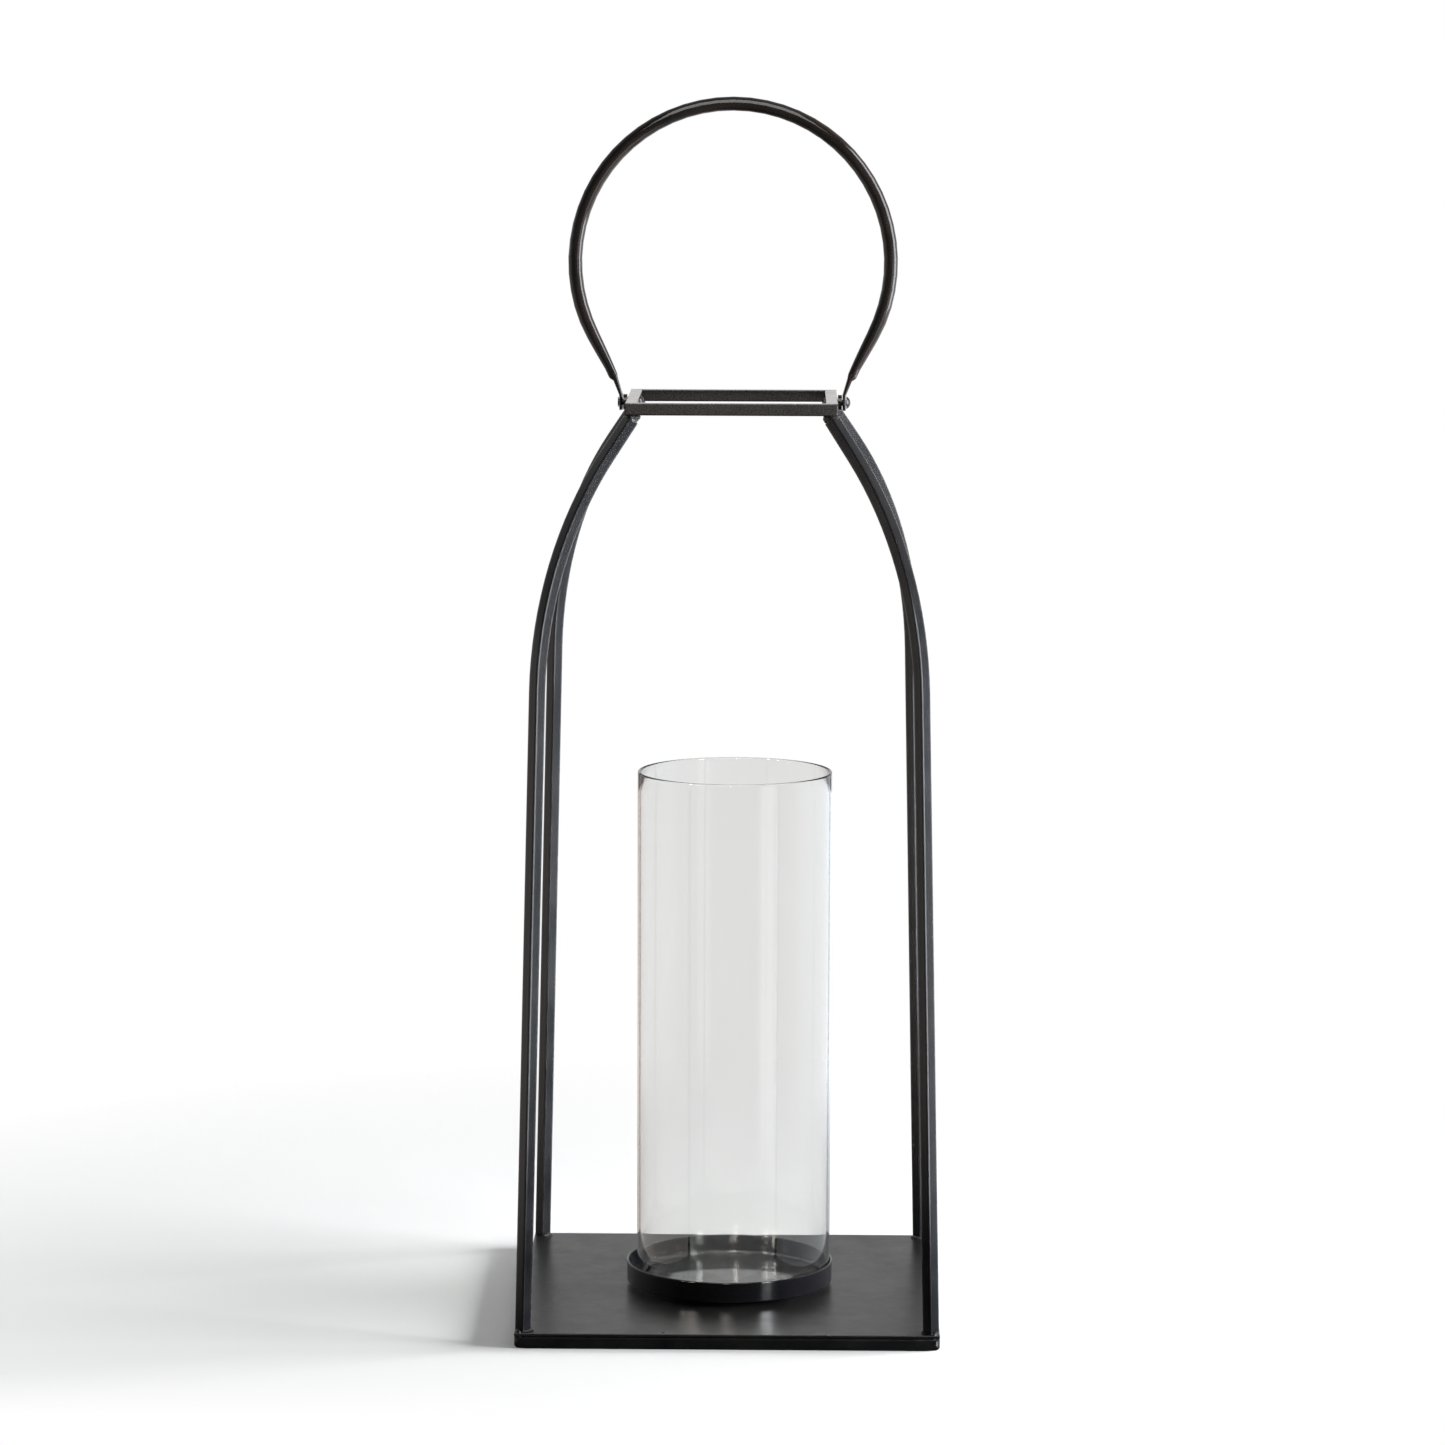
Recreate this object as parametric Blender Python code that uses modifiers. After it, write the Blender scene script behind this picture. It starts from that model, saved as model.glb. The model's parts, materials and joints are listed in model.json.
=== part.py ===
"""Candle lantern: an open frame of square iron bar on a sheet base plate, a shallow candle tray,
a loose glass cylinder that stands in the tray, and a swinging carrying handle on two rivets.

Metres, +Z up, +X to the right and the front towards -Y. The origin is on the floor, under the
middle of the base.
"""

import math

import bmesh
import bpy
from mathutils import Matrix, Vector

# Bar stock and clearances
BAR = 0.006  # side of the square bar that the whole frame is made of
BAR_EDGE_RADIUS = 0.00045  # rolled edge of the bar
WELD_GAP = 0.0003  # gap between two pieces that touch or are welded
RUNNING_GAP = 0.0003  # gap between a rivet and the pieces that it holds

# Base
BASE_WIDTH = 0.213  # outside, left to right
BASE_DEPTH = 0.213  # outside, front to back
PLATE_THICKNESS = 0.0016
PLATE_EDGE_RADIUS = 0.0002

# Legs: each is one bar, bent once in the upright plane from its foot to the top frame's corner
FOOT_MARGIN = 0.00016  # from the base's outer faces to the edges of the foot
LEG_LEAN = math.radians(1.8)  # of the long straight part, inwards
LEG_TOP_LEAN = math.radians(43.0)  # of the short straight part under the top frame
LEG_BEND_RADIUS = 0.175
LEG_BEND_STEPS = 16

# Top frame
TOP_WIDTH = 0.1065
TOP_DEPTH = 0.1065
TOP_HEIGHT = 0.4695  # from the floor to the top frame's upper faces

# Candle tray, held clear of the plate by a hidden spacer
GLASS_PLAY = 0.0048  # how much wider the tray is inside than the glass is outside
TRAY_HEIGHT = 0.0105
TRAY_WALL = 0.0010
TRAY_FLOOR = 0.0010
TRAY_CORNER = 0.0006
TRAY_CLEARANCE = 0.0025  # from the plate to the underside of the tray
SPACER_DIAMETER = 0.060

# Glass
GLASS_DIAMETER = 0.100
GLASS_HEIGHT = 0.2655
GLASS_WALL = 0.0025
GLASS_SIDE_GAP = 0.0004  # it has been pushed to the right, almost against the tray's wall

# Handle: a round tube whose ends are pressed flat into tabs
TUBE_DIAMETER = 0.0072
SHANK_LEAN = math.radians(27.5)  # of the straight stretch between the ring and the tab
SHANK_LENGTH = 0.025
TAB_THICKNESS = 0.0017
TAB_BELOW_PIVOT = 0.0040
TAB_CORNER = 0.0030
TAB_BEND_HEIGHT = 0.0039  # above the pivot: below it the tab is upright
TAB_RISE = 0.0117  # from the pivot to the end of the shank
TAB_FLARE = 0.0027  # how far the shank's end stands outside the upright tab
CRIMP_LENGTH = 0.0060  # where the tube closes up sharply
CRIMP_SHARE = 0.55  # of the flattening that is left where the crimp starts
FLATTENING_LENGTH = 0.042  # from the shank's end to where the tube is round

# Pivots
RIVET_DIAMETER = 0.0032
RIVET_HEAD_DIAMETER = 0.0066
RIVET_HEAD_HEIGHT = 0.0021
RIVET_TAIL_DIAMETER = 0.0050
RIVET_TAIL_HEIGHT = 0.0005
WASHER_DIAMETER = 0.0080
WASHER_THICKNESS = 0.0020

# Fineness of the round pieces
TURN_STEPS = 72
SMALL_TURN_STEPS = 28
TUBE_SIDES = 16
RING_STEPS = 20
SHANK_STEPS = 7

# Levels and places that follow from the sizes above
PLATE_TOP = BAR + WELD_GAP + PLATE_THICKNESS
TOP_UNDERSIDE = TOP_HEIGHT - BAR
PIVOT_HEIGHT = TOP_HEIGHT - BAR / 2
FOOT_INSET = FOOT_MARGIN + BAR / math.sqrt(2)  # to the middle of the foot, which stands cornerwise
TAB_OFFSET = TOP_WIDTH / 2 + 2 * RUNNING_GAP + WASHER_THICKNESS + TAB_THICKNESS / 2
TRAY_DIAMETER = GLASS_DIAMETER + GLASS_PLAY + 2 * TRAY_WALL
TRAY_BOTTOM = PLATE_TOP + TRAY_CLEARANCE
GLASS_BOTTOM = TRAY_BOTTOM + TRAY_FLOOR + WELD_GAP
GLASS_OFFSET = GLASS_PLAY / 2 - GLASS_SIDE_GAP
SMOOTH_ANGLE = math.radians(40)


def clear_scene():
    for old in list(bpy.data.objects):
        bpy.data.objects.remove(old)


def new_collection(name):
    collection = bpy.data.collections.new(name)
    bpy.context.scene.collection.children.link(collection)
    return collection


clear_scene()
LANTERN = new_collection("candle_lantern")
CUTTERS = new_collection("cutters")


def make_material(name, colour, roughness, metallic=0.0, transmission=0.0):
    material = bpy.data.materials.new(name)
    material.use_nodes = True
    shader = material.node_tree.nodes["Principled BSDF"]
    shader.inputs["Base Color"].default_value = (*colour, 1.0)
    shader.inputs["Roughness"].default_value = roughness
    shader.inputs["Metallic"].default_value = metallic
    shader.inputs["Transmission Weight"].default_value = transmission
    material.diffuse_color = (*colour, 1.0)
    return material


BAR_PAINT = make_material("bar_paint", (0.012, 0.012, 0.014), 0.38)
PLATE_PAINT = make_material("plate_paint", (0.030, 0.030, 0.031), 0.42)
TRAY_PAINT = make_material("tray_paint", (0.010, 0.010, 0.012), 0.22)
HANDLE_PAINT = make_material("handle_paint", (0.013, 0.011, 0.011), 0.30)
RIVET_PAINT = make_material("rivet_paint", (0.011, 0.010, 0.010), 0.33)
WASHER_PAINT = make_material("washer_paint", (0.009, 0.009, 0.009), 0.50)
SPACER_PAINT = make_material("spacer_paint", (0.009, 0.009, 0.010), 0.50)
CLEAR_GLASS = make_material("clear_glass", (0.93, 0.96, 0.95), 0.02, transmission=1.0)


def make_parent(name, location):
    empty = bpy.data.objects.new(name, None)
    empty.location = location
    LANTERN.objects.link(empty)
    return empty


FRAME_ORIGIN = make_parent("frame_origin", (0, 0, 0))
HANDLE_AXIS = make_parent("handle_axis", (0, 0, PIVOT_HEIGHT))


def place(name, data, material, location=(0, 0, 0), rotation=(0, 0, 0), parent=FRAME_ORIGIN):
    obj = bpy.data.objects.new(name, data)
    if not data.materials:
        data.materials.append(material)
    obj.parent = parent
    obj.location = location
    obj.rotation_euler = rotation
    LANTERN.objects.link(obj)
    return obj


def finished_mesh(name, shape):
    """Turns a bmesh into a mesh that is smooth except at its sharp edges."""
    bmesh.ops.recalc_face_normals(shape, faces=shape.faces)
    mesh = bpy.data.meshes.new(name)
    shape.to_mesh(mesh)
    shape.free()
    mesh.shade_smooth()
    mesh.set_sharp_from_angle(angle=SMOOTH_ANGLE)
    return mesh


def mitred_bar_mesh(name, length, end_gap):
    """A bar along X, outer face at -Y, whose ends are cut at 45 degrees to meet their neighbours."""
    shape = bmesh.new()
    bmesh.ops.create_cube(shape, size=1.0)
    bmesh.ops.scale(shape, vec=(length, BAR, BAR), verts=shape.verts)
    long_edges = [e for e in shape.edges if abs(e.verts[0].co.x - e.verts[1].co.x) > length / 2]
    bmesh.ops.bevel(
        shape, geom=long_edges, offset=BAR_EDGE_RADIUS, segments=2, profile=0.5, affect="EDGES"
    )
    for vert in shape.verts:
        depth = vert.co.y + BAR / 2
        vert.co.x -= math.copysign(depth + end_gap, vert.co.x)
    return finished_mesh(name, shape)


def make_rails(prefix, width, depth, underside):
    """Four mitred bars round a rectangle, front, right, back and left."""
    end_gap = WELD_GAP / 2 * math.sqrt(2)
    height = underside + BAR / 2
    along_x = mitred_bar_mesh(prefix + "_rail_x", width, end_gap)
    along_y = mitred_bar_mesh(prefix + "_rail_y", depth, end_gap)
    sides = (
        ("front", along_x, (0, -(depth - BAR) / 2, height), 0),
        ("right", along_y, ((width - BAR) / 2, 0, height), 90),
        ("back", along_x, (0, (depth - BAR) / 2, height), 180),
        ("left", along_y, (-(width - BAR) / 2, 0, height), -90),
    )
    rails = {}
    for side, mesh, location, turn in sides:
        name = f"{prefix}_rail_{side}"
        rails[side] = place(name, mesh, BAR_PAINT, location, (0, 0, math.radians(turn)))
    return rails


def make_base_plate():
    shape = bmesh.new()
    bmesh.ops.create_cube(shape, size=1.0)
    bmesh.ops.scale(shape, vec=(BASE_WIDTH, BASE_DEPTH, PLATE_THICKNESS), verts=shape.verts)
    mesh = finished_mesh("base_plate", shape)
    plate = place("base_plate", mesh, PLATE_PAINT, (0, 0, PLATE_TOP - PLATE_THICKNESS / 2))
    edge = plate.modifiers.new("rounded_edges", "BEVEL")
    edge.width = PLATE_EDGE_RADIUS
    edge.segments = 1
    return plate


def arc_points(centre, radius, start, end, steps):
    """Points of a circular arc, as (x, y) vectors, from the angle start to the angle end."""
    points = []
    for step in range(steps + 1):
        angle = start + (end - start) * step / steps
        points.append(Vector(centre) + radius * Vector((math.cos(angle), math.sin(angle))))
    return points


def rounded_square_points(side, radius, steps):
    points = []
    reach = side / 2 - radius
    for quarter, (x, y) in enumerate(((1, 1), (-1, 1), (-1, -1), (1, -1))):
        start = quarter * math.pi / 2
        points += arc_points((x * reach, y * reach), radius, start, start + math.pi / 2, steps)
    return points


def new_polyline(name, points, cyclic=False):
    curve = bpy.data.curves.new(name, "CURVE")
    curve.dimensions = "3D"
    spline = curve.splines.new("POLY")
    spline.points.add(len(points) - 1)
    for target, point in zip(spline.points, points):
        target.co = (*point.to_3d(), 1.0)
    spline.use_cyclic_u = cyclic
    return curve


def make_bar_section():
    """The outline that every leg is swept with, run clockwise so that the leg's skin faces out."""
    outline = rounded_square_points(BAR, BAR_EDGE_RADIUS, 2)
    curve = new_polyline("bar_section", outline[::-1], cyclic=True)
    section = bpy.data.objects.new("bar_section", curve)
    section.hide_render = True
    section.display_type = "WIRE"
    CUTTERS.objects.link(section)
    return section


def leg_line(run, foot_height, top_height):
    """Centre line of a leg as (inward, up): straight, one bend, straight."""
    foot = Vector((0, foot_height))
    top = Vector((run, top_height))
    lower = Vector((math.sin(LEG_LEAN), math.cos(LEG_LEAN)))
    upper = Vector((math.sin(LEG_TOP_LEAN), math.cos(LEG_TOP_LEAN)))
    across = (top - foot).cross(upper) / lower.cross(upper)
    corner = foot + lower * across
    tangent = LEG_BEND_RADIUS * math.tan((LEG_TOP_LEAN - LEG_LEAN) / 2)
    bend_start = corner - lower * tangent
    centre = bend_start + LEG_BEND_RADIUS * Vector((lower.y, -lower.x))
    bend = arc_points(
        centre, LEG_BEND_RADIUS, math.pi - LEG_LEAN, math.pi - LEG_TOP_LEAN, LEG_BEND_STEPS
    )
    return [foot, *bend, top]


def make_legs():
    foot_x = BASE_WIDTH / 2 - FOOT_INSET
    foot_y = BASE_DEPTH / 2 - FOOT_INSET
    run = Vector((foot_x - (TOP_WIDTH - BAR) / 2, foot_y - (TOP_DEPTH - BAR) / 2))
    foot_height = PLATE_TOP + WELD_GAP + BAR / 2 * math.sin(LEG_LEAN)
    top_height = TOP_UNDERSIDE - WELD_GAP - BAR / 2 * math.sin(LEG_TOP_LEAN)
    curve = new_polyline("leg", leg_line(run.length, foot_height, top_height))
    curve.twist_mode = "Z_UP"
    curve.bevel_mode = "OBJECT"
    curve.bevel_object = make_bar_section()
    curve.use_fill_caps = True
    corners = (
        ("front_left", -1, -1),
        ("front_right", 1, -1),
        ("back_left", -1, 1),
        ("back_right", 1, 1),
    )
    for corner, x, y in corners:
        inward = math.atan2(-y * run.y, -x * run.x)
        turn = Matrix.Rotation(inward, 3, "Z") @ Matrix.Rotation(math.pi / 2, 3, "X")
        place("leg_" + corner, curve, BAR_PAINT, (x * foot_x, y * foot_y, 0), turn.to_euler())


def turned(name, points, material, location, rotation=(0, 0, 0), steps=TURN_STEPS, closed=False):
    """A profile of (radius, height) points, running down its outer side, turned about local Z."""
    mesh = bpy.data.meshes.new(name)
    edges = [(i, i + 1) for i in range(len(points) - 1)]
    if closed:
        edges.append((len(points) - 1, 0))
    mesh.from_pydata([(radius, 0, height) for radius, height in points], edges, [])
    obj = place(name, mesh, material, location, rotation)
    screw = obj.modifiers.new("turn", "SCREW")
    screw.steps = steps
    screw.render_steps = steps
    screw.use_merge_vertices = True
    screw.merge_threshold = 0.00001
    screw.use_smooth_shade = True
    return obj


def make_tray():
    outer = TRAY_DIAMETER / 2
    inner = outer - TRAY_WALL
    lip = TRAY_WALL / 2
    rim = arc_points((outer - lip, TRAY_HEIGHT - lip), lip, math.pi, 0, 4)
    inside = arc_points(
        (inner - TRAY_CORNER, TRAY_FLOOR + TRAY_CORNER), TRAY_CORNER, -math.pi / 2, 0, 2
    )
    outside = arc_points((outer - TRAY_CORNER, TRAY_CORNER), TRAY_CORNER, 0, -math.pi / 2, 2)
    profile = [Vector((0, TRAY_FLOOR)), *inside, *rim, *outside, Vector((0, 0))]
    turned("candle_tray", profile, TRAY_PAINT, (0, 0, TRAY_BOTTOM))


def make_tray_spacer():
    height = TRAY_CLEARANCE - 2 * WELD_GAP
    shape = bmesh.new()
    bmesh.ops.create_cone(
        shape,
        cap_ends=True,
        segments=TURN_STEPS // 2,
        radius1=SPACER_DIAMETER / 2,
        radius2=SPACER_DIAMETER / 2,
        depth=height,
    )
    mesh = finished_mesh("tray_spacer", shape)
    place("tray_spacer", mesh, SPACER_PAINT, (0, 0, PLATE_TOP + TRAY_CLEARANCE / 2))


def make_glass():
    outer = GLASS_DIAMETER / 2
    lip = GLASS_WALL / 2
    top = arc_points((outer - lip, GLASS_HEIGHT - lip), lip, math.pi, 0, 6)
    bottom = arc_points((outer - lip, lip), lip, 0, -math.pi, 6)
    place_at = (GLASS_OFFSET, 0, GLASS_BOTTOM)
    turned("glass_cylinder", [*top, *bottom], CLEAR_GLASS, place_at, closed=True)


def tube_section(thickness):
    """(half straight width, end radius) of the tube pressed to this thickness, same girth."""
    return math.pi * (TUBE_DIAMETER - thickness) / 4, thickness / 2


def shank_thickness(rise):
    """Thickness of the flattened tube at a distance along it from the shank's lower end."""
    full = TUBE_DIAMETER - TAB_THICKNESS
    if rise <= CRIMP_LENGTH:
        share = rise / CRIMP_LENGTH
        return TAB_THICKNESS + full * CRIMP_SHARE * share * share * (3 - 2 * share)
    share = min(1.0, (rise - CRIMP_LENGTH) / (FLATTENING_LENGTH - CRIMP_LENGTH))
    return TAB_THICKNESS + full * (CRIMP_SHARE + (1 - CRIMP_SHARE) * share * (2 - share))


def tab_stations():
    """(centre, direction, half width, thickness) from the tab's tip up to its bend."""
    half_straight, end_radius = tube_section(TAB_THICKNESS)
    half_width = half_straight + end_radius
    up = Vector((0, 1))
    stations = []
    for turn in (0, 30, 60, 90):
        angle = math.radians(turn)
        height = TAB_CORNER * (1 - math.cos(angle))
        width = half_width - TAB_CORNER * (1 - math.sin(angle))
        stations.append((Vector((TAB_OFFSET, height - TAB_BELOW_PIVOT)), up, width, TAB_THICKNESS))
    bend = Vector((TAB_OFFSET, TAB_BEND_HEIGHT))
    lean = Vector((TAB_FLARE, TAB_RISE - TAB_BEND_HEIGHT)).normalized()
    stations.append((bend, (up + lean).normalized(), half_width, TAB_THICKNESS))
    return stations


def shank_stations():
    """Stations of the straight shank and of the right half of the ring, up to the middle plane."""
    lean = Vector((math.sin(SHANK_LEAN), math.cos(SHANK_LEAN)))
    low = Vector((TAB_OFFSET + TAB_FLARE, TAB_RISE))
    line = []
    for step in range(SHANK_STEPS):
        rise = SHANK_LENGTH * step / SHANK_STEPS
        line.append((low + lean * rise, lean, rise))
    ring_start = low + lean * SHANK_LENGTH
    ring_radius = ring_start.x / math.cos(SHANK_LEAN)
    centre_height = ring_start.y + ring_radius * math.sin(SHANK_LEAN)
    for step in range(RING_STEPS + 1):
        angle = -SHANK_LEAN + (math.pi / 2 + SHANK_LEAN) * step / RING_STEPS
        point = Vector((ring_radius * math.cos(angle), centre_height + ring_radius * math.sin(angle)))
        along = Vector((-math.sin(angle), math.cos(angle)))
        line.append((point, along, SHANK_LENGTH + ring_radius * (angle + SHANK_LEAN)))
    line[-1] = (Vector((0, line[-1][0].y)), Vector((-1, 0)), line[-1][2])
    stations = []
    for point, along, rise in line:
        thickness = shank_thickness(rise)
        half_straight, end_radius = tube_section(thickness)
        stations.append((point, along, half_straight + end_radius, thickness))
    return stations


def section_ring(shape, station):
    """Vertices of one pressed-tube section, square to the handle's line."""
    point, along, half_width, thickness = station
    across = Vector((along.y, -along.x))
    straight = half_width - thickness / 2
    ring = []
    for side in range(TUBE_SIDES):
        angle = 2 * math.pi * (side + 0.5) / TUBE_SIDES
        width = math.copysign(straight, math.cos(angle)) + thickness / 2 * math.cos(angle)
        flat = point + across * (thickness / 2 * math.sin(angle))
        ring.append(shape.verts.new((flat.x, width, flat.y)))
    return ring


def pivot_cutter():
    """One long cylinder on the handle's axis, which drills the tabs and the side rails."""
    shape = bmesh.new()
    radius = RIVET_DIAMETER / 2 + RUNNING_GAP
    bmesh.ops.create_cone(
        shape,
        cap_ends=True,
        segments=SMALL_TURN_STEPS,
        radius1=radius,
        radius2=radius,
        depth=2 * (TAB_OFFSET + TUBE_DIAMETER),
    )
    mesh = finished_mesh("pivot_cutter", shape)
    cutter = bpy.data.objects.new("pivot_cutter", mesh)
    cutter.location = (0, 0, PIVOT_HEIGHT)
    cutter.rotation_euler = (0, math.pi / 2, 0)
    cutter.hide_render = True
    cutter.display_type = "WIRE"
    CUTTERS.objects.link(cutter)
    return cutter


def drill(obj, cutter):
    hole = obj.modifiers.new("pivot_hole", "BOOLEAN")
    hole.operation = "DIFFERENCE"
    hole.solver = "EXACT"
    hole.object = cutter


def make_handle(cutter):
    """Lofts the right half from the tab's tip to the middle of the ring, and mirrors it."""
    shape = bmesh.new()
    rings = [section_ring(shape, station) for station in tab_stations() + shank_stations()]
    shape.faces.new(rings[0])
    for lower, upper in zip(rings, rings[1:]):
        for side in range(TUBE_SIDES):
            after = (side + 1) % TUBE_SIDES
            shape.faces.new((lower[side], lower[after], upper[after], upper[side]))
    mesh = finished_mesh("handle", shape)
    handle = place("handle", mesh, HANDLE_PAINT, parent=HANDLE_AXIS)
    mirror = handle.modifiers.new("left_half", "MIRROR")
    mirror.merge_threshold = 0.00001
    drill(handle, cutter)


def rivet_profile(length):
    """Down the outer side: domed head, shank, then a low peened tail."""
    shank = RIVET_DIAMETER / 2
    head = RIVET_HEAD_DIAMETER / 2
    dome = (head**2 + RIVET_HEAD_HEIGHT**2) / (2 * RIVET_HEAD_HEIGHT)
    spread = math.asin(head / dome)
    crown_height = length / 2 + RIVET_HEAD_HEIGHT - dome
    crown = arc_points((0, crown_height), dome, math.pi / 2, math.pi / 2 - spread, 6)
    tail = RIVET_TAIL_DIAMETER / 2
    tail_side = RIVET_TAIL_HEIGHT / 2
    return [
        *crown,
        Vector((shank, length / 2)),
        Vector((shank, -length / 2)),
        Vector((tail, -length / 2)),
        Vector((tail, -length / 2 - tail_side)),
        Vector((tail - tail_side, -length / 2 - RIVET_TAIL_HEIGHT)),
        Vector((0, -length / 2 - RIVET_TAIL_HEIGHT)),
    ]


def make_pivots(rails):
    cutter = pivot_cutter()
    make_handle(cutter)
    inner_seat = TOP_WIDTH / 2 - BAR - RUNNING_GAP
    outer_seat = TAB_OFFSET + TAB_THICKNESS / 2 + RUNNING_GAP
    profile = rivet_profile(outer_seat - inner_seat)
    middle = (outer_seat + inner_seat) / 2
    washer_hole = RIVET_DIAMETER / 2 + RUNNING_GAP
    washer_edge = WASHER_DIAMETER / 2
    half = WASHER_THICKNESS / 2
    washer = [
        Vector((washer_hole, half)),
        Vector((washer_edge, half)),
        Vector((washer_edge, -half)),
        Vector((washer_hole, -half)),
    ]
    washer_place = TOP_WIDTH / 2 + RUNNING_GAP + half
    on_side = (0, math.pi / 2, 0)
    for side, sign in (("right", 1), ("left", -1)):
        drill(rails[side], cutter)
        turned(
            "handle_rivet_" + side,
            profile,
            RIVET_PAINT,
            (sign * middle, 0, PIVOT_HEIGHT),
            on_side,
            SMALL_TURN_STEPS,
        )
        turned(
            "handle_washer_" + side,
            washer,
            WASHER_PAINT,
            (sign * washer_place, 0, PIVOT_HEIGHT),
            on_side,
            SMALL_TURN_STEPS,
            closed=True,
        )


make_rails("base", BASE_WIDTH, BASE_DEPTH, 0)
make_base_plate()
make_legs()
make_pivots(make_rails("top", TOP_WIDTH, TOP_DEPTH, TOP_UNDERSIDE))
make_tray()
make_tray_spacer()
make_glass()
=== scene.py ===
"""Looks of the candle lantern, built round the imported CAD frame. Metres, +Z up, front towards -Y."""

import json
import math

import bmesh
import bpy
from mathutils import Matrix, Vector, noise

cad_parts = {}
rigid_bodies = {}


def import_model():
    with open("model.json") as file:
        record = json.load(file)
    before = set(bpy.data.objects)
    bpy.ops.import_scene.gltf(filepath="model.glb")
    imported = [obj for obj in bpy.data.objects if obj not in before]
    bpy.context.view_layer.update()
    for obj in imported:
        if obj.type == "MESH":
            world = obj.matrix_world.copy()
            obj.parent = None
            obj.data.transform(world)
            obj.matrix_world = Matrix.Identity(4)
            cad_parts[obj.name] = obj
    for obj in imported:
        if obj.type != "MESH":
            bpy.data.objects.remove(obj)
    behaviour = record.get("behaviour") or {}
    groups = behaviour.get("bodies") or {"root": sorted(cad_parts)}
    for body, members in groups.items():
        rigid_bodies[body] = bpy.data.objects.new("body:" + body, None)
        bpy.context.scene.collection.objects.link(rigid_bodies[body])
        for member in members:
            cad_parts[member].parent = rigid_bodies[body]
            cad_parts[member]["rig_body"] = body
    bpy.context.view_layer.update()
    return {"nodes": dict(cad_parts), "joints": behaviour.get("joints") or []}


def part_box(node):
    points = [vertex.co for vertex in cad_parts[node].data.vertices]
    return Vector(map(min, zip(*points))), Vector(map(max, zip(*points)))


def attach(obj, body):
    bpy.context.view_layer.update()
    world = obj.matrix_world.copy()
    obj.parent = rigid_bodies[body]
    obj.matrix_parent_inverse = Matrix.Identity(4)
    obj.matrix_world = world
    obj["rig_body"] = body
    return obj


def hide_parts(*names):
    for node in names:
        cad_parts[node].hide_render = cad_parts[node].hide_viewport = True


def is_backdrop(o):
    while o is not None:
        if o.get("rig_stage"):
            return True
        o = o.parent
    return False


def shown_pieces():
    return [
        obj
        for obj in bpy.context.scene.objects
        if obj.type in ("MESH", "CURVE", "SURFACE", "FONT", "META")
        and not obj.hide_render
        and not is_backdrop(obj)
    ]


for startup_object in list(bpy.data.objects):
    bpy.data.objects.remove(startup_object)

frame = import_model()

DEGREE = math.radians(1)

# Camera, as set up for the photograph
CAMERA_DISTANCE = 2.536
CAMERA_HEIGHT = 0.6473
CAMERA_YAW = 0.607 * DEGREE
CAMERA_TURN = 0.710 * DEGREE
CAMERA_PITCH = 7.75 * DEGREE
CAMERA_ROLL = 0.20 * DEGREE
CAMERA_LENS = 124.3
SENSOR_WIDTH = 36

FRAME_BODY = "lantern_frame"
GLASS_BODY = "glass"

CORNERS = (
    ("front_left", -1, -1),
    ("front_right", 1, -1),
    ("back_left", -1, 1),
    ("back_right", 1, 1),
)

# Cleaning up the CAD solids, so that round surfaces shade smooth
MERGE_DISTANCE = 0.000002
FLAT_ANGLE = 0.3 * DEGREE
SMOOTH_ANGLE = 50 * DEGREE
FLAT_FACE_WEIGHT = 90

# Frame
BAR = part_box("base_rail_front")[1].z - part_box("base_rail_front")[0].z
CORNER_ROUND = 0.0022  # radius of the base's outer corners
CORNER_CUTS = tuple((turn, dip) for dip in (0, 20, 40, 60) for turn in (15, 30, 45, 60, 75))
SEAM_WIDTH = 0.00034
SEAM_INSET = 0.00006  # from the bar's skin to the filler in a mitre
SEAM_BEVEL = 0.0001
SEAM_CORNER_INSET = 0.00008  # as SEAM_INSET, at the base's rounded corners

# Handle ends: the CAD's line from the pivot up to the lower end of the shank
PIVOT_Z = next(j["pos_m"][2] for j in frame["joints"] if j["name"] == "handle_swing")
TAB_OUT = 0.00345  # from the top frame's side to the middle of the tab
TAB_RISE = 0.0117
TAB_FLARE = 0.0027
SHANK_LEAN = 27.5 * DEGREE
PINCH_REACH = 0.0075  # the stretch of shank that is reshaped
ROW_PLAY = 0.0005  # how far from a row of the shank's points still counts as on it
LONGEST_ACROSS = 0.002  # an edge that runs further than this along the shank is a lengthwise one
PINCH_CUTS = 4
CRIMP_END = 0.0030
FOLD_HALF = 0.00125  # half the thickness where the tube is folded into the tab
FULL_HALF = 0.00220  # half the thickness where the tube is full again
CRIMP_SHIFT = 0.0004

# Tray: which of its faces are inside
TRAY_RIM = 0.0005  # half the wall: a face nearer to the outside than this isn't inside
INWARD = -0.0001  # a face that looks inwards has less than this of its normal along its radius
UPWARD = 0.5

# Glass
GLASS_WALL = 0.0016
GLASS_STEPS = 192
RIM_STEPS = 10
WALL_SHARES = (0.04, 0.25, 0.5, 0.75, 0.96)  # heights of the wall's points
GLASS_MERGE = 0.00001

# Each weld bead: at the leg's top or foot, its place out from and up from there, its radii outwards,
# across and upwards, and how lumpy it is
WELDS = (
    ("weld_top", "top", -0.0010, -0.0012, (0.0032, 0.0037, 0.0029), 0.18),
    ("weld_bead", "top", 0.0002, -0.0018, (0.0030, 0.0034, 0.0034), 0.10),
    ("weld_foot", "foot", -0.0024, 0.0003, (0.0014, 0.0032, 0.0013), 0.18),
    ("weld_heel", "foot", 0.0026, -0.0016, (0.0013, 0.0022, 0.0034), 0.06),
)
WELD_SEED_STEP = 5
COARSE_LUMPS = 1.6
FINE_LUMPS = 4

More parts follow.
